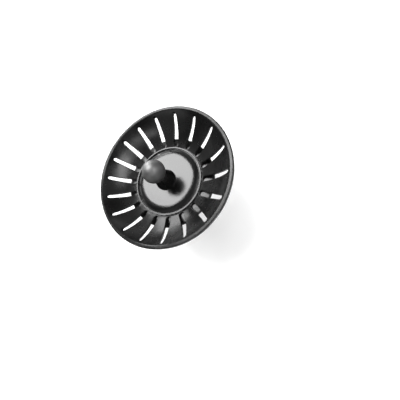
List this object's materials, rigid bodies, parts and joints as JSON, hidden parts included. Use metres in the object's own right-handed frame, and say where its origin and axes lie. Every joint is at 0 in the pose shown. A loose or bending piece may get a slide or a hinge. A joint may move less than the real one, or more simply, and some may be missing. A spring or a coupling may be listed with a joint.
{
  "type": "sink basket strainer plug",
  "caption": "Slotted bowl-shaped sink strainer plug with a ball knob, a flat rubber seal and a ball-catch spindle that snaps into the waste fitting.",
  "frame": {"origin": "on the spindle's axis, in the plane where the spindle leaves the clamp nut", "axes": "+Z along the spindle's axis towards the knob; +X through the catch balls"},
  "size_m": [0.08, 0.08, 0.0562],
  "materials": {
    "basket_plastic": "black, satin gloss",
    "knob_plastic": "black, satin",
    "seal_rubber": "black, matt",
    "washer_steel": "polished",
    "fastener_steel": "bright zinc",
    "spindle_steel": "polished",
    "ball_steel": "mirror polished",
    "insert_brass": "turned"
  },
  "bodies": {
    "plug": {"strainer_basket": "basket_plastic", "rubber_seal": "seal_rubber", "backing_washer": "washer_steel", "lock_washer": "fastener_steel", "clamp_nut": "fastener_steel", "spindle": "spindle_steel", "catch_spring": "fastener_steel", "knob": "knob_plastic", "knob_insert": "insert_brass", "spindle_o_ring": "seal_rubber"},
    "catch_ball_right": {"catch_ball_right": "ball_steel"},
    "catch_ball_left": {"catch_ball_left": "ball_steel"}
  },
  "joints": [
    {"name": "catch_ball_right_slide", "type": "slide", "parent": "plug", "child": "catch_ball_right", "axis": [-1, 0, 0], "range_m": [0, 0.00065], "stiffness_N_per_m": 500, "springref_m": -0.0003, "deforming": ["catch_spring"]},
    {"name": "catch_ball_left_slide", "type": "slide", "parent": "plug", "child": "catch_ball_left", "axis": [1, 0, 0], "range_m": [0, 0.00065], "stiffness_N_per_m": 500, "springref_m": -0.0003, "deforming": ["catch_spring"]}
  ]
}
